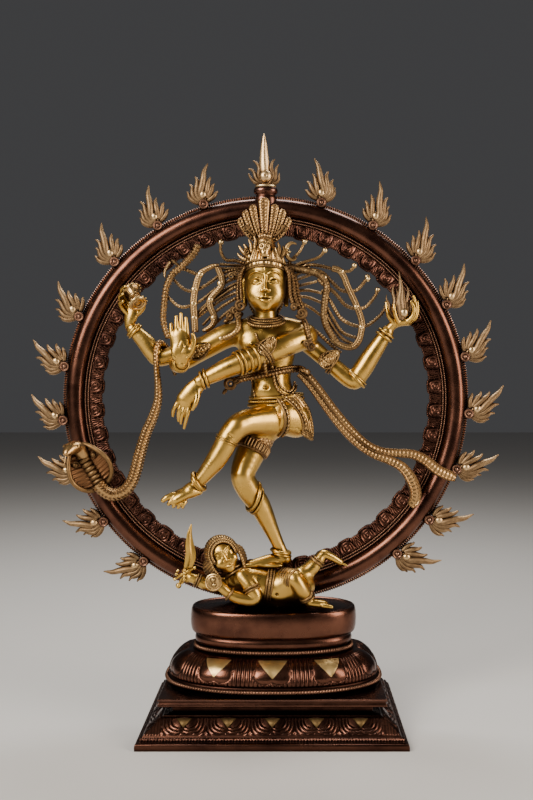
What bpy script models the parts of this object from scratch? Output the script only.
"""Cast brass statue of a dancing four-armed figure inside a ring of flames.

A stepped plinth, a lotus base and a drum seat carry a cast arch with nineteen
flames and a polished figure that dances on a lying dwarf.  Millimetres are used
for the shapes and are turned into metres by MM.  +Z is up and the front of the
statue looks along -Y.  Left and right are the figure's own, so the figure's
right arm is at -X.  The origin is the middle of the underside of the base.
"""
import math

import bmesh
import bpy
from mathutils import Matrix, Vector

MM = 0.001
GAP = 0.3                       # space left between pieces that touch
TRIM = 0.5                      # how far a cutter stands off the piece it copies
WELD = 0.00002

# pedestal: half widths (X) and half depths (Y)
PLINTH_HALF = (125.5, 87.5)
PLINTH_TOP_Z = 41.0
PLINTH_WALL = 5.0
PLATE_THICKNESS = 3.0
LOTUS_HALF = (107.0, 66.0)
LOTUS_CENTRE_Y = -3.0
LOTUS_TOP_Z = 79.0
DRUM_HALF = (82.5, 43.0)
DRUM_CENTRE_Y = -7.0
DRUM_TOP_Z = 115.0
DRUM_WALL = 6.0
PEDESTAL_STEPS = 34

# arch: a ring that stands on the drum seat, in the plane Y = 0
ARCH_X = -8.0                   # the arch and the figure stand a little to the figure's right
ARCH_CENTRE_Z = 320.5
RIM_RADIUS = 204.7
TUBE_OUTER = 201.0
TUBE_INNER = 183.0
BAND_OUTER = 178.0
BAND_INNER = 163.0
TUBE_FRONT_Y = -7.5
BAND_FRONT_Y = 0.5
ARCH_BACK_Y = 5.0
ARCH_STEPS = 52

# flames round the arch
FLAME_SEAT_RADIUS = 204.5
FLAME_LENGTH_RIGHT = 39.0
FLAME_LENGTH_LEFT = 42.5
FLAME_BOSS_RADIUS = 4.6
FLAME_PLACES_RIGHT = (17.7, 32.0, 47.9, 66.3, 81.0, 96.2, 111.3, 127.3, 143.2)  # degrees from the top
FLAME_PLACES_LEFT = (15.9, 31.8, 47.4, 62.6, 78.2, 94.3, 110.4, 126.6, 139.8)
FLAME_HEADINGS_RIGHT = (-3.0, 12.5, 18.5, 33.5, 48.6, 52.0, 69.3, 87.2, 106.1)  # degrees from straight up
FLAME_HEADINGS_LEFT = (-8.8, 8.0, 16.2, 23.0, 36.0, 53.0, 69.6, 84.4, 99.4)
FINIAL_TIP_Z = 587.0

COLLAR_X = -2.0                 # from the arch's middle
COLLAR_RISE = 5.0               # how far the collar stands above the rim
COLLAR_DEPTH = 12.0             # how far it reaches down over the rim
COLLAR_RADIUS = 10.5
COLLAR_TOP_RADIUS = 12.0

# studs that hold the arch and the figure on the drum seat
STUD_RADIUS = 3.0
STUD_HOLE_RADIUS = 3.4
STUD_BELOW_CROWN = 14.0         # how far a stud hangs below the underside of the seat's top
WASHER_RADIUS = 7.5
WASHER_THICKNESS = 1.6
NUT_RADIUS = 6.0
NUT_HEIGHT = 5.0
ARCH_STUD_X = 22.0              # each side of the arch's middle
ARCH_STUD_TOP_Z = DRUM_TOP_Z + 16.0
FIGURE_STUD_X = 12.0
FIGURE_STUD_Y = -24.0
FIGURE_STUD_TOP_Z = DRUM_TOP_Z + 20.0
STUD_PLACES = ((-ARCH_STUD_X, 0.0), (ARCH_STUD_X, 0.0), (FIGURE_STUD_X, FIGURE_STUD_Y))

for old in list(bpy.data.objects):
    bpy.data.objects.remove(old, do_unlink=True)


def new_collection(name):
    collection = bpy.data.collections.new(name)
    bpy.context.scene.collection.children.link(collection)
    return collection


PARTS = new_collection("brass_dancing_figure_statue")
CUTTERS = new_collection("cutters")


def metal(name, colour, roughness):
    """One cast or polished metal."""
    material = bpy.data.materials.new(name)
    material.use_nodes = True
    shader = material.node_tree.nodes["Principled BSDF"]
    shader.inputs["Base Color"].default_value = (*colour, 1.0)
    shader.inputs["Roughness"].default_value = roughness
    shader.inputs["Metallic"].default_value = 1.0
    material.diffuse_color = (*colour, 1.0)
    return material


POLISHED = metal("polished_brass", (0.72, 0.50, 0.20), 0.28)
ANTIQUE = metal("antique_brass", (0.50, 0.33, 0.16), 0.38)
PATINA = metal("copper_patina", (0.20, 0.09, 0.06), 0.35)
FLAME_METAL = metal("flame_bronze", (0.62, 0.42, 0.24), 0.33)
STEEL = metal("fixing_steel", (0.55, 0.55, 0.56), 0.35)


def at(x, y, z):
    """A point of the arch and figure, measured from the arch's own middle line."""
    return Vector(((x + ARCH_X) * MM, y * MM, z * MM))


# ---------------------------------------------------------------- solids
def add_object(name, data, collection=PARTS):
    obj = bpy.data.objects.new(name, data)
    collection.objects.link(obj)
    return obj


def mesh_from(name, bm, collection=PARTS):
    """Turn a bmesh into an object with its faces pointing out."""
    bmesh.ops.recalc_face_normals(bm, faces=bm.faces)
    mesh = bpy.data.meshes.new(name)
    bm.to_mesh(mesh)
    bm.free()
    return add_object(name, mesh, collection)


def baked(obj):
    """The object as its modifiers and bevels leave it, as a welded plain mesh in world space."""
    name = obj.name
    collection = obj.users_collection[0]
    bpy.context.view_layer.update()
    depsgraph = bpy.context.evaluated_depsgraph_get()
    mesh = bpy.data.meshes.new_from_object(obj.evaluated_get(depsgraph))
    mesh.transform(obj.matrix_world)
    bm = bmesh.new()
    bm.from_mesh(mesh)
    bmesh.ops.remove_doubles(bm, verts=bm.verts, dist=WELD)
    bmesh.ops.recalc_face_normals(bm, faces=bm.faces)
    bm.to_mesh(mesh)
    bm.free()
    bpy.data.objects.remove(obj, do_unlink=True)
    return add_object(name, mesh, collection)


def combine(operation, first, *others):
    """Join or cut the first object with the others, and bake the result."""
    for other in others:
        step = first.modifiers.new(operation.lower(), "BOOLEAN")
        step.operation = operation
        step.object = other
    result = baked(first)
    for other in others:
        bpy.data.objects.remove(other, do_unlink=True)
    return result


def join(first, *others):
    return combine("UNION", first, *others)


def cut(first, *others):
    return combine("DIFFERENCE", first, *others)


def stand_off_copy(obj, distance):
    """A copy of a finished piece that is a little larger all round, to cut a neighbour with."""
    mesh = obj.data.copy()
    mesh.transform(obj.matrix_world)
    bm = bmesh.new()
    bm.from_mesh(mesh)
    bm.normal_update()
    moves = [(vert, vert.normal * distance * MM * min(vert.calc_shell_factor(), 2.0)) for vert in bm.verts]
    for vert, move in moves:
        vert.co += move
    bm.to_mesh(mesh)
    bm.free()
    cutter = add_object(obj.name + "_cutter", mesh, CUTTERS)
    cutter.hide_render = True
    cutter.display_type = "WIRE"
    return cutter


def largest_body(obj):
    """Remove the crumbs that a cut can leave beside the piece."""
    bm = bmesh.new()
    bm.from_mesh(obj.data)
    bm.verts.ensure_lookup_table()
    left = set(bm.verts)
    bodies = []
    while left:
        stack = [left.pop()]
        body = []
        while stack:
            vert = stack.pop()
            body.append(vert)
            for edge in vert.link_edges:
                other = edge.other_vert(vert)
                if other in left:
                    left.remove(other)
                    stack.append(other)
        bodies.append(body)
    bodies.sort(key=len)
    crumbs = [vert for body in bodies[:-1] for vert in body]
    bmesh.ops.delete(bm, geom=crumbs, context="VERTS")
    bm.to_mesh(obj.data)
    bm.free()
    return obj


def finish(obj, material, touching=(), trim=TRIM):
    """Trim a piece where it would run into finished neighbours, and give it its metal."""
    obj = baked(obj)
    for neighbour in touching:
        obj = cut(obj, stand_off_copy(neighbour, trim))
    obj = largest_body(obj)
    obj.data.shade_smooth()
    obj.data.set_sharp_from_angle(angle=math.radians(35))
    obj.data.materials.clear()
    obj.data.materials.append(material)
    return obj


def curve_point(points, position):
    """A point of the smooth curve through the given points, at a position counted in points."""
    last = len(points) - 1
    index = min(int(position), last - 1)
    t = position - index
    p0 = Vector(points[max(index - 1, 0)])
    p1 = Vector(points[index])
    p2 = Vector(points[index + 1])
    p3 = Vector(points[min(index + 2, last)])
    bend = 2 * p0 - 5 * p1 + 4 * p2 - p3
    twist = 3 * p1 - p0 - 3 * p2 + p3
    return 0.5 * (2 * p1 + (p2 - p0) * t + bend * t * t + twist * t * t * t)


def limb(name, points, steps=3, fineness=2):
    """A tapering round limb, horn or strand through points of (x, y, z, radius)."""
    curve = bpy.data.curves.new(name, "CURVE")
    curve.dimensions = "3D"
    curve.bevel_depth = MM
    curve.bevel_resolution = fineness
    curve.use_fill_caps = True
    count = (len(points) - 1) * steps + 1
    spline = curve.splines.new("POLY")
    spline.points.add(count - 1)
    for i, point in enumerate(spline.points):
        place = curve_point(points, i / steps)
        point.co = (*at(*place[:3]), 1.0)
        point.radius = place[3]
    return baked(add_object(name, curve))


def ball(name, centre, radii, segments=12):
    bm = bmesh.new()
    bmesh.ops.create_uvsphere(bm, u_segments=segments, v_segments=segments // 2 + 1, radius=1.0)
    size = Matrix.Diagonal((*[r * MM for r in radii], 1.0))
    bmesh.ops.transform(bm, matrix=Matrix.Translation(centre) @ size, verts=bm.verts)
    return mesh_from(name, bm)


def rod(name, start, end, radius, segments=12, end_radius=None, collection=PARTS):
    """A cylinder or cone between two points in metres; radii in millimetres."""
    along = end - start
    bm = bmesh.new()
    bmesh.ops.create_cone(bm, cap_ends=True, segments=segments, radius1=radius * MM,
                          radius2=(radius if end_radius is None else end_radius) * MM,
                          depth=along.length)
    turn = along.to_track_quat("Z", "Y").to_matrix().to_4x4()
    middle = Matrix.Translation((start + end) / 2)
    bmesh.ops.transform(bm, matrix=middle @ turn, verts=bm.verts)
    return mesh_from(name, bm, collection)


def turned(name, profile, axis, steps, scale_y=1.0, centre=(0, 0, 0), collection=PARTS):
    """A turned solid: the profile of (radius, height) runs down its outer side.

    A profile that starts and ends on the axis closes itself; any other is a closed section.
    """
    mesh = bpy.data.meshes.new(name)
    closed = profile[0][0] > 0
    if axis == "Z":
        points = [(r * MM, 0, h * MM) for r, h in profile]
    else:
        points = [(r * MM, h * MM, 0) for r, h in profile]
    edges = [(i, i + 1) for i in range(len(points) - 1)]
    if closed:
        edges.append((len(points) - 1, 0))
    mesh.from_pydata(points, edges, [])
    obj = add_object(name, mesh, collection)
    screw = obj.modifiers.new("turn", "SCREW")
    screw.axis = axis
    screw.steps = steps
    screw.render_steps = steps
    screw.use_merge_vertices = True
    screw.merge_threshold = 0.00002
    screw.use_normal_calculate = True
    obj.scale = (1.0, scale_y, 1.0)
    obj.location = Vector(centre) * MM
    return baked(obj)


def stepped_block(name, levels, collection=PARTS):
    """A rectangular stepped block from levels of (z, half width, half depth)."""
    bm = bmesh.new()
    rings = []
    for z, half_x, half_y in levels:
        corners = ((-1, -1), (1, -1), (1, 1), (-1, 1))
        rings.append([bm.verts.new((sx * half_x * MM, sy * half_y * MM, z * MM)) for sx, sy in corners])
    bm.faces.new(rings[0][::-1])
    bm.faces.new(rings[-1])
    for low, high in zip(rings, rings[1:]):
        for i in range(4):
            j = (i + 1) % 4
            bm.faces.new((low[i], low[j], high[j], high[i]))
    return mesh_from(name, bm, collection)


def oval_loft(name, sections, sides=14):
    """A soft body from level oval sections of (x, y, z, half width, half depth)."""
    bm = bmesh.new()
    rings = []
    for x, y, z, half_x, half_y in sections:
        ring = []
        for i in range(sides):
            angle = 2 * math.pi * i / sides
            ring.append(bm.verts.new(at(x + half_x * math.cos(angle), y + half_y * math.sin(angle), z)))
        rings.append(ring)
    bm.faces.new(rings[0][::-1])
    bm.faces.new(rings[-1])
    for low, high in zip(rings, rings[1:]):
        for i in range(sides):
            j = (i + 1) % sides
            bm.faces.new((low[i], low[j], high[j], high[i]))
    return mesh_from(name, bm)


def flat_plate(name, outline, y, thickness):
    """A flat outline of (x, z) points that stands upright, with its middle at depth y."""
    curve = bpy.data.curves.new(name, "CURVE")
    curve.dimensions = "2D"
    curve.fill_mode = "BOTH"
    curve.extrude = thickness * MM / 2
    spline = curve.splines.new("POLY")
    spline.points.add(len(outline) - 1)
    for point, (x, z) in zip(spline.points, outline):
        point.co = ((x + ARCH_X) * MM, z * MM, 0, 1)
    spline.use_cyclic_u = True
    obj = add_object(name, curve)
    obj.rotation_euler = (math.pi / 2, 0, 0)
    obj.location = (0, y * MM, 0)
    return baked(obj)


# ---------------------------------------------------------------- pedestal
def make_base_plate():
    """A sheet that closes the hollow casting from below."""
    half_x = PLINTH_HALF[0] - PLINTH_WALL - GAP
    half_y = PLINTH_HALF[1] - PLINTH_WALL - GAP
    plate = stepped_block("base_plate", [(0, half_x, half_y), (PLATE_THICKNESS, half_x, half_y)])
    return finish(plate, STEEL)


def make_plinth():
    wide, deep = PLINTH_HALF
    outside = stepped_block("plinth", [
        (0, wide, deep), (6.5, wide, deep),
        (7.2, wide - 4, deep - 4), (10.5, wide - 4, deep - 4),
        (11.5, wide - 6, deep - 6), (24, wide - 23, deep - 22),
        (25, wide - 26, deep - 25), (33.5, wide - 26, deep - 25),
        (34.5, wide - 18.5, deep - 18.5), (PLINTH_TOP_Z, wide - 18.5, deep - 18.5)])
    inner_x = wide - PLINTH_WALL
    inner_y = deep - PLINTH_WALL
    hollow = stepped_block("plinth_hollow", [
        (-1, inner_x, inner_y), (PLATE_THICKNESS + GAP, inner_x, inner_y),
        (7, inner_x - 8, inner_y - 8), (20, wide - 34, deep - 33),
        (PLINTH_TOP_Z - PLINTH_WALL, wide - 34, deep - 33)], CUTTERS)
    return finish(cut(outside, hollow), PATINA)


def make_lotus_base():
    """The oval petalled base: a beaded foot, bulging petals and a beaded neck."""
    wide, deep = LOTUS_HALF
    bottom = PLINTH_TOP_Z + GAP
    profile = [
        (78.0, LOTUS_TOP_Z), (81.0, 76.5), (78.0, 74.0), (93.0, 67.0), (99.0, 60.0), (102.0, 50.0),
        (wide, 48.5), (wide, 45.5), (101.0, bottom),
        (92.0, bottom), (90.0, 58.0), (66.0, LOTUS_TOP_Z)]
    base = turned("lotus_base", profile, "Z", PEDESTAL_STEPS, deep / wide, (0, LOTUS_CENTRE_Y, 0))
    return finish(base, PATINA)


def make_drum_seat():
    """The oval seat with a closed top, drilled for the studs."""
    wide, deep = DRUM_HALF
    bottom = LOTUS_TOP_Z + GAP
    crown = DRUM_TOP_Z - DRUM_WALL
    profile = [
        (0, DRUM_TOP_Z), (77.0, DRUM_TOP_Z), (80.5, 111.5), (wide, 104.0), (81.5, 96.5),
        (76.8, 90.8), (76.0, bottom),
        (67.0, bottom), (67.0, crown), (0, crown)]
    seat = turned("drum_seat", profile, "Z", PEDESTAL_STEPS, deep / wide, (0, DRUM_CENTRE_Y, 0))
    holes = []
    for x, y in STUD_PLACES:
        holes.append(rod("stud_hole", at(x, y, crown - 2), at(x, y, DRUM_TOP_Z + 2),
                         STUD_HOLE_RADIUS, collection=CUTTERS))
    return finish(cut(seat, *holes), PATINA)


# ---------------------------------------------------------------- arch
def arch_section():
    """The arch's section: (radius, depth) points from the rim's front round to its back."""
    tube_mid = (TUBE_OUTER + TUBE_INNER) / 2
    tube_half = (TUBE_OUTER - TUBE_INNER) / 2
    section = [(RIM_RADIUS, 1.5)]
    arc_points = 6
    for i in range(arc_points + 1):
        angle = math.pi * i / arc_points
        rise = (TUBE_FRONT_Y - BAND_FRONT_Y) * math.sin(angle)
        section.append((tube_mid + tube_half * math.cos(angle), BAND_FRONT_Y + rise))
    section += [(BAND_OUTER, BAND_FRONT_Y - 1.2), (BAND_OUTER - 2, BAND_FRONT_Y),
                (BAND_INNER, BAND_FRONT_Y), (BAND_INNER, ARCH_BACK_Y), (RIM_RADIUS, ARCH_BACK_Y)]
    return section


def make_arch():
    ring = turned("arch", arch_section()[::-1], "Y", ARCH_STEPS,
                  centre=(ARCH_X, 0, ARCH_CENTRE_Z))
    holes = []
    for side in (-1, 1):
        x = side * ARCH_STUD_X
        holes.append(rod("stud_hole", at(x, 0, DRUM_TOP_Z - 5), at(x, 0, ARCH_STUD_TOP_Z + GAP),
                         STUD_HOLE_RADIUS, collection=CUTTERS))
    return finish(cut(ring, *holes), PATINA)


def in_arch(radius, degrees_from_top, y=0.0):
    """(x, y, z) in millimetres, at an angle from the top, positive towards the figure's left (+X)."""
    angle = math.radians(degrees_from_top)
    return (radius * math.sin(angle), y, ARCH_CENTRE_Z + radius * math.cos(angle))


def flame_strand(seat, heading, curl, length, points):
    """Points given as (part of the length, across, depth, radius) turned to the flame's heading."""
    angle = math.radians(heading)
    out = []
    for part, across, depth, radius in points:
        along = part * length
        side = across * curl
        x = seat[0] + along * math.sin(angle) + side * math.cos(angle)
        z = seat[2] + along * math.cos(angle) - side * math.sin(angle)
        out.append((x, seat[1] + depth, z, radius))
    return out


def make_flame(name, degrees_from_top, heading, curl, length, arch):
    """One flame: a round boss on the rim, a swelling heart and three curling tongues."""
    seat = in_arch(FLAME_SEAT_RADIUS, degrees_from_top, -1.6)
    tongues = (
        ((0.05, 0, 0, 2.6), (0.3, 0.5, 0.1, 6.5), (0.6, 1.5, 0, 4.0), (1.0, 0, 0, 0.5)),
        ((0.19, 3, 0.7, 3.0), (0.42, 9, 0.5, 2.6), (0.7, 12, 0.4, 0.6)),
        ((0.2, -3, -0.6, 3.1), (0.41, -9, -0.8, 2.7), (0.68, -12, -0.5, 0.7)))
    pieces = []
    for tongue in tongues:
        pieces.append(limb(name + "_tongue", flame_strand(seat, heading, curl, length, tongue), 1, 0))
    boss = rod(name, at(seat[0], seat[1] - 3.4, seat[2]), at(seat[0], seat[1] + 2.2, seat[2]),
               FLAME_BOSS_RADIUS, 8)
    return finish(join(boss, *pieces), FLAME_METAL, (arch,))


def make_finial(arch):
    """The collar over the top of the arch, and the tall flame that stands in it."""
    top = ARCH_CENTRE_Z + RIM_RADIUS
    collar = rod("finial_collar", at(COLLAR_X, 0, top - COLLAR_DEPTH), at(COLLAR_X, 0, top + COLLAR_RISE),
                 COLLAR_RADIUS, 20, COLLAR_TOP_RADIUS)
    collar = finish(collar, PATINA, (arch,))
    cup_z = top + COLLAR_RISE + GAP
    cup = turned("finial_flame", [(0, cup_z + 14), (5, cup_z + 13), (9, cup_z + 9), (8, cup_z + 4),
                                  (5, cup_z), (0, cup_z)], "Z", 16, centre=(ARCH_X - 3, 0, 0))
    spike = limb("spike", [(-3, 0, cup_z + 8, 7), (-3.5, 0, cup_z + 22, 5.5), (-4.5, 0, cup_z + 40, 3.2),
                           (-5, 0, FINIAL_TIP_Z, 0.5)], 2)
    side_tongues = []
    for side in (-1, 1):
        side_tongues.append(limb("tongue", [
            (-3 + side * 4, 0, cup_z + 8, 3.0), (-3 + side * 13, 0, cup_z + 16, 2.4),
            (-3 + side * 12, 0, cup_z + 26, 1.6), (-3 + side * 16, 0, cup_z + 33, 0.5)], 1, 1))
    return collar, finish(join(cup, spike, *side_tongues), FLAME_METAL)


def make_flames(arch):
    sides = (("right", -1, FLAME_PLACES_RIGHT, FLAME_HEADINGS_RIGHT, FLAME_LENGTH_RIGHT),
             ("left", 1, FLAME_PLACES_LEFT, FLAME_HEADINGS_LEFT, FLAME_LENGTH_LEFT))
    for side_name, side, places, headings, length in sides:
        for i, (place, heading) in enumerate(zip(places, headings), start=1):
            make_flame(f"flame_{side_name}_{i}", side * place, side * heading, side, length, arch)


# ---------------------------------------------------------------- fixings
def make_stud(name, x, y, top_z, crown_z):
    """A stud through the seat's top with its nut and washer underneath."""
    stud = rod(name + "_stud", at(x, y, crown_z - STUD_BELOW_CROWN), at(x, y, top_z), STUD_RADIUS)
    washer_top = crown_z - GAP
    washer_low = washer_top - WASHER_THICKNESS
    washer = rod(name + "_washer", at(x, y, washer_low), at(x, y, washer_top), WASHER_RADIUS)
    nut_top = washer_low - GAP
    nut = rod(name + "_nut", at(x, y, nut_top - NUT_HEIGHT), at(x, y, nut_top), NUT_RADIUS, 6)
    finished_stud = finish(stud, STEEL)
    finish(washer, STEEL, (finished_stud,))
    finish(nut, STEEL, (finished_stud,))
    return finished_stud


# ---------------------------------------------------------------- figure
def make_torso():
    torso = oval_loft("torso", [
        (13, -20, 296, 19, 14), (12, -20, 303, 25, 17), (11, -20, 313, 27, 18), (8.5, -20, 323, 23, 16),
        (6, -20, 337, 20, 14), (4, -20, 348, 22, 14.5), (2.5, -20, 360, 26, 16), (1.5, -20, 374, 29, 17),
        (0.5, -20, 385, 31, 15.5), (0, -20.5, 392, 25, 12), (0.5, -22, 397.5, 11, 10)])
    return finish(torso, POLISHED)


def make_head(torso):
    skull = ball("head", at(0.5, -24, 431.5), (19.5, 19.5, 27), 20)
    neck = limb("neck", [(0.8, -22, 398, 11.5), (1, -23, 403, 9.8), (1, -23, 416, 9.5)], 2, 4)
    return finish(join(skull, neck), POLISHED, (torso,))


def make_crown(head):
    """The headband and the coil of hair above it."""
    crown = oval_loft("crown", [
        (0.5, -24, 448, 20.5, 20.5), (0.5, -24, 457, 21, 21), (0, -25, 463, 17, 17),
        (-0.3, -26, 470, 14, 12), (-0.4, -26, 477, 9, 6)], 20)
    return finish(crown, POLISHED, (head,))


def make_crest_fan(crown):
    """Seven upright feathers in a fan."""
    outline = []
    feathers = 7
    for i in range(feathers):
        middle = -48 + 16 * i
        for offset, length in ((-8, 36.0), (0, 42.0), (8, 36.0)):
            if offset == -8 and i > 0:
                continue
            angle = math.radians(middle + offset)
            reach = length * (1.0 - 0.16 * abs(math.sin(angle)))
            outline.append((-0.4 + 0.82 * reach * math.sin(angle), 475 + reach * math.cos(angle)))
    outline += [(6, 470), (-7, 470)]
    return finish(flat_plate("crest_fan", outline, -26.0, 6.0), POLISHED, (crown,))


def make_crescent(crown):
    """A crescent moon pinned to the side of the hair."""
    outline = []
    arc_points = 8
    for i in range(arc_points + 1):
        angle = math.radians(60 + 240 * i / arc_points)
        outline.append((26 + 8 * math.cos(angle), 466 + 8 * math.sin(angle)))
    for i in range(arc_points - 1, 0, -1):
        angle = math.radians(60 + 240 * i / arc_points)
        outline.append((28.5 + 5.5 * math.cos(angle), 466 + 5.5 * math.sin(angle)))
    return finish(flat_plate("crescent_moon", outline, -26.0, 4.0), POLISHED, (crown,))


def make_crown_flower(crown):
    petal = limb("crown_flower", [(-14, -26, 462, 4), (-20, -26, 467, 4.5), (-26, -26, 471, 2)], 2)
    return finish(petal, POLISHED, (crown,))


def make_arms(torso, head):
    """Four arms; each ends in a hand with its fingers together."""
    front_right = join(
        limb("arm_front_right", [(-27, -22, 386, 11), (-40, -25, 382, 10), (-62, -27, 369, 8.5),
                                 (-84, -29, 356, 7.8), (-82, -44, 353, 7.2), (-78, -56, 354, 5.6)], 2),
        ball("palm", at(-77, -59, 366.5), (12.5, 4.5, 14.5)),
        limb("fingers", [(-77, -59.5, 374, 6.5), (-77.5, -60, 388, 5.5), (-78, -59.5, 399, 3.5)], 2))
    front_right = finish(front_right, POLISHED, (torso, head))
    back_right = join(
        limb("arm_back_right", [(-27, -14, 384, 9), (-45, -14, 379, 9), (-75, -15, 370, 8),
                                (-104, -16, 361, 7.5), (-119, -18, 375, 6.8), (-132, -20, 389, 5)], 2),
        limb("hand", [(-131, -20, 387, 5), (-133, -22, 396, 6.5), (-132.5, -22, 407, 6),
                      (-129, -21, 416, 3.5)], 2))
    back_right = finish(back_right, POLISHED, (torso, front_right))
    front_left = join(
        limb("arm_front_left", [(36, -15, 386, 10), (39, -26, 382, 11), (28, -38, 375, 10),
                                (8, -46, 366.5, 9), (-16, -51, 356.5, 8.5), (-38, -54, 347.5, 7.5),
                                (-58, -55, 338.5, 5.5)], 2),
        limb("hand", [(-57, -55, 339, 5.5), (-65, -55, 330, 7), (-71, -54, 320, 7), (-75, -53, 306, 5),
                      (-77, -52, 293, 2.5)], 2))
    front_left = finish(front_left, POLISHED, (torso, head, front_right))
    back_left = join(
        limb("arm_back_left", [(28, -14, 383, 9), (42, -14, 375, 9), (64, -15, 356, 8), (87, -16, 337.5, 7.8),
                               (104, -18, 362, 7), (121, -20, 387, 5)], 2),
        ball("palm", at(134, -24, 394), (17, 9, 6)),
        limb("fingers", [(140, -24, 396, 4.5), (151, -22, 404, 4), (152, -20, 419, 2.5)], 2))
    back_left = finish(back_left, POLISHED, (torso, front_left))
    return front_right, back_right, front_left, back_left


def make_legs(torso, dwarf):
    """The standing leg on the dwarf, and the raised leg across the front."""
    standing = join(
        limb("leg_standing", [(3, -21, 306, 15), (-2, -23, 293, 16.5), (-13, -30, 270, 14.5),
                              (-21, -37, 248, 11.5), (-15, -33, 232, 11.5), (-5, -27, 216, 10),
                              (7, -22, 190, 7), (14, -20, 174, 6), (17, -20, 166, 6)], 2),
        limb("foot", [(22, -18, 162, 5.5), (12, -20, 163, 6.5), (-4, -23, 161, 5.5), (-14, -25, 159.5, 5),
                      (-22, -26, 158, 3)], 2))
    standing = finish(standing, POLISHED, (torso, dwarf))
    raised = join(
        limb("leg_raised", [(24, -22, 303, 15), (12, -28, 302, 17), (-6, -42, 304, 14.5),
                            (-21, -54, 303, 12), (-31, -57, 291, 11.5), (-42, -58.5, 274, 10),
                            (-55, -59.5, 254, 7), (-65, -60, 239, 5.5), (-66, -60, 234, 5.5)], 2),
        limb("foot", [(-62, -60, 233, 5), (-70, -61, 231.5, 6.5), (-79, -63, 226.5, 5.5),
                      (-91, -66, 220.5, 3)], 2))
    raised = finish(raised, POLISHED, (torso, standing))
    return standing, raised


def make_loincloth(torso, legs):
    """The short pleated cloth at the figure's left hip."""
    cloth = oval_loft("loincloth", [
        (30, -14, 283, 16, 13), (29, -13, 292, 17, 15), (27, -12, 302, 17, 15), (24, -12, 312, 17, 14)])
    return finish(cloth, POLISHED, (torso, *legs), 0.7)


def make_belt(torso, legs):
    points = []
    turns = 20
    for i in range(turns + 1):
        angle = 2 * math.pi * i / turns
        points.append((9 + 25 * math.cos(angle), -20 + 17.5 * math.sin(angle), 321, 2.4))
    start = points[0]
    points[-1] = (start[0], start[1] - 0.8, start[2], start[3])
    return finish(limb("hip_belt", points[:-1], 1), POLISHED, (torso, *legs))


def make_necklace(torso, head):
    points = []
    beads = 12
    for i in range(beads + 1):
        angle = math.pi * i / beads
        drop = math.sin(angle)
        points.append((0.5 + 17 * math.cos(angle), -21 - 16 * drop, 395 - 15 * drop, 2.6))
    return finish(limb("necklace", points, 1), POLISHED, (torso, head))


def make_hair(torso, head, crown, arms):
    """The flying locks: curved strands tied together by an outer twisted rope."""
    roots_y = -14
    right_strands = (
        ((-71, 463), (-82, 451), (-91.6, 443), (-97, 431), (-99.5, 416), (-100.5, 401), (-98.5, 390)),
        ((-50, 450), (-64, 443.5), (-69, 428), (-70.7, 415), (-69.8, 399.5), (-69, 386)),
        ((-48, 449), (-43, 433), (-54, 419), (-51.5, 401), (-58, 390)),
        ((-82, 450), (-66, 443)),
        ((-93, 441), (-82, 430), (-72, 427), (-62, 431), (-53, 437), (-39, 446), (-20, 450)),
        ((-98, 423), (-86, 412), (-75, 412), (-62, 418.5), (-49, 429), (-33, 439), (-19, 444)),
        ((-70, 399), (-55, 410), (-43, 419), (-30, 425), (-17, 429)),
        ((-44, 474), (-44, 466), (-39, 458), (-29, 457), (-17, 453)))
    left_strands = (
        ((18, 451), (34, 448), (50.6, 444), (61, 434), (59, 418), (58, 402), (65, 384), (72, 374)),
        ((18, 455), (32, 452), (46, 453), (73, 447), (81, 432), (91, 410), (95, 391), (93.5, 379), (85, 371),
         (75, 373)),
        ((34, 450), (55, 446), (65, 437), (76.5, 427.5), (89.5, 427.5), (98, 436), (101, 441)),
        ((58, 433), (69, 425), (81, 412), (97, 410), (108, 421), (111, 428)),
        ((59, 424), (65, 416), (76.5, 398.5), (97, 392), (113, 402), (120, 412)),
        ((59, 412), (64, 405), (76.5, 386), (94, 380)))
    for name, strands, side in (("hair_right", right_strands, -1), ("hair_left", left_strands, 1)):
        lock = limb(name, [(side * 19, roots_y, 458, 3.5), (side * 21.5, roots_y, 440, 4),
                           (side * 20, roots_y, 420, 3)], 2, 1)
        pieces = []
        for order, strand in enumerate(strands):
            depth = roots_y + 1.3 * (order % 3)
            points = [(x, depth + 0.02 * abs(x), z, 2.4 + 0.07 * order) for x, z in strand]
            pieces.append(limb("strand", points, 1, 1))
        finish(join(lock, *pieces), ANTIQUE, (torso, head, crown, *arms))


def make_damaru(arms):
    """The small hourglass drum in the figure's back right hand."""
    profile = [(0, 11), (8, 10.5), (8, 8), (3.6, 0), (8, -8), (8, -10.5), (0, -11)]
    drum = turned("damaru", profile, "Z", 14)
    tilt = Vector((0.42, -0.55, -0.72)).to_track_quat("Z", "Y").to_matrix().to_4x4()
    drum.data.transform(Matrix.Translation(at(-127, -28, 420)) @ tilt)
    return finish(drum, POLISHED, arms)


def make_hand_flame(arms):
    """The flame held on the back left palm."""
    flame = join(
        limb("hand_flame", [(134, -25, 397, 9), (134, -25, 408, 10), (133, -25, 420, 7.5), (132, -25, 433, 4),
                            (130, -25, 445, 0.8)], 2),
        limb("tongue", [(139, -25, 406, 5), (145, -25, 416, 3.5), (143, -25, 428, 0.8)], 1, 1),
        limb("tongue", [(129, -25, 406, 5), (122, -25, 414, 3.5), (121, -25, 426, 0.8)], 1, 1))
    return finish(flame, FLAME_METAL, arms)


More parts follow.
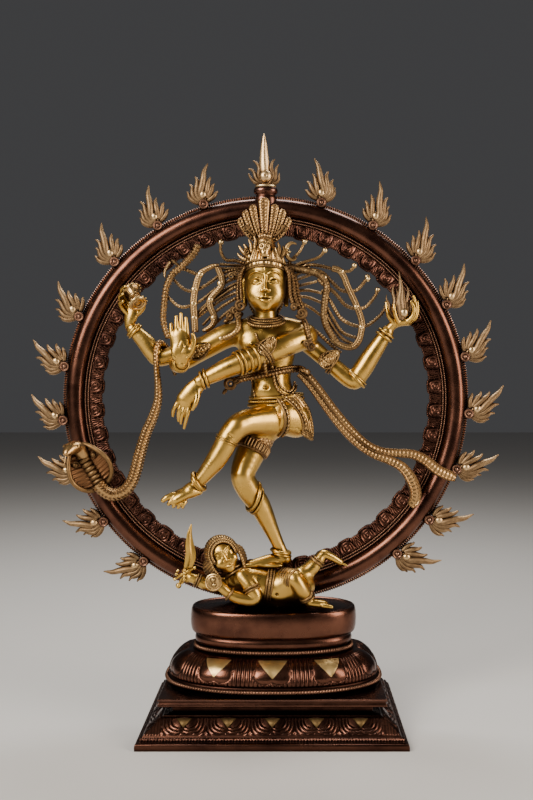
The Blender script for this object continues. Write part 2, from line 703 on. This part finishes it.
def make_cobra(arms, arch):
    """A snake that hangs over the back right arm and raises its hood beside the arch."""
    body = limb("cobra", [(-90, -10, 344, 1.6), (-93, -4, 354, 3.2), (-100, -6, 370, 4.6),
                          (-104, -22, 375, 4.8), (-106, -30, 362, 4.8), (-105.5, -29, 350, 4.8),
                          (-104.7, -28, 318, 4.8),
                          (-116, -26, 294, 5), (-125, -24, 261, 5), (-132, -24, 240, 5), (-148, -26, 228, 5),
                          (-164, -28, 236, 5), (-173, -29, 250, 5)], 2)
    hood = ball("hood", at(-176, -29, 253), (18, 5.5, 22))
    snout = limb("snout", [(-177, -31, 262, 6), (-182, -35, 271, 5.5), (-184, -39, 275, 3)], 2)
    return finish(join(body, hood, snout), ANTIQUE, (*arms, arch))


def make_sash(torso, arms, legs, arch):
    """A scarf tied at the waist whose two tails blow across the arch."""
    band = limb("waist_sash", [(-32, -41, 336, 3), (-16, -41, 340, 4), (0, -41, 343, 4), (20, -37, 347.5, 4),
                               (37, -31, 348, 4.5), (50, -30, 331, 4.5), (66.5, -29, 307, 4.5),
                               (95, -26, 276, 4.5), (112, -24.5, 266, 4)], 2)
    upper = limb("tail", [(108, -25, 268, 3.5), (117, -24, 267, 3.5), (145, -21, 264, 3.5),
                          (168, -17, 249, 3.5), (184, -15, 242, 2)], 2)
    lower = limb("tail", [(104, -25.5, 269, 3.5), (112, -25, 260, 3.5), (135, -22, 250, 3.5),
                          (148, -19, 235, 3.5), (148, -16, 217, 2.5)], 2)
    return finish(join(band, upper, lower), ANTIQUE, (torso, *arms, *legs, arch))


def make_dwarf(seat, arch, stud):
    """The dwarf who lies under the dancing foot."""
    trunk = limb("dwarf", [(-27, -28, 147, 11), (-16, -28, 142, 14), (4, -28, 137, 15), (26, -28, 136, 15),
                           (38, -27, 138, 12)], 2, 2)
    head = ball("skull", at(-41, -28, 163), (12.5, 11.5, 12))
    neck = limb("neck", [(-24, -28, 150, 9), (-36, -28, 158, 8)], 2)
    near_leg = limb("leg", [(22, -32, 142, 11), (29, -40, 146, 8.5), (36, -42, 134, 6.5), (43, -43, 125, 4.5),
                            (52, -43, 121, 4.5), (63, -43, 119, 3.5)], 2)
    far_leg = limb("leg", [(30, -26, 142, 10), (40, -24, 152, 6.5), (54, -21, 159, 4.5), (64, -19, 160, 4.5),
                           (80, -18, 155, 3)], 2)
    near_arm = limb("arm", [(-20, -32, 146, 7), (-9, -41, 131, 5.5), (-20, -44, 124, 4.5),
                            (-34, -45, 126, 4)], 2)
    far_arm = limb("arm", [(-28, -26, 148, 6), (-48, -33, 135, 5), (-60, -34, 141, 4.5),
                           (-72, -34, 148, 4.5)], 2)
    shape = join(trunk, head, neck, near_leg, far_leg, near_arm, far_arm)
    return finish(shape, POLISHED, (seat, arch, stud))


def make_dwarf_sword(dwarf):
    blade = limb("dwarf_sword", [(-87, -34, 143, 3.5), (-80, -34, 146, 2.2), (-74, -34, 152, 2.4),
                                 (-74, -34, 164, 4.5), (-73, -34, 178, 4.2), (-71, -34, 199, 0.6)], 2)
    return finish(blade, POLISHED, (dwarf,))


def make_dwarf_shield(dwarf):
    shield = rod("dwarf_shield", at(-49, -43, 145), at(-49.5, -47, 144.5), 7.5, 16)
    return finish(shield, POLISHED, (dwarf,))


def make_statue():
    make_base_plate()
    make_plinth()
    make_lotus_base()
    seat = make_drum_seat()
    arch = make_arch()
    crown_z = DRUM_TOP_Z - DRUM_WALL
    make_stud("arch_right", -ARCH_STUD_X, 0, ARCH_STUD_TOP_Z, crown_z)
    make_stud("arch_left", ARCH_STUD_X, 0, ARCH_STUD_TOP_Z, crown_z)
    figure_stud = make_stud("figure", FIGURE_STUD_X, FIGURE_STUD_Y, FIGURE_STUD_TOP_Z, crown_z)
    make_flames(arch)
    make_finial(arch)
    dwarf = make_dwarf(seat, arch, figure_stud)
    make_dwarf_sword(dwarf)
    make_dwarf_shield(dwarf)
    torso = make_torso()
    head = make_head(torso)
    crown = make_crown(head)
    make_crest_fan(crown)
    make_crescent(crown)
    make_crown_flower(crown)
    arms = make_arms(torso, head)
    legs = make_legs(torso, dwarf)
    cloth = make_loincloth(torso, legs)
    make_belt(torso, (*legs, cloth))
    make_necklace(torso, head)
    make_hair(torso, head, crown, arms)
    make_damaru(arms)
    make_hand_flame(arms)
    make_cobra(arms, arch)
    make_sash(torso, arms, legs, arch)


make_statue()
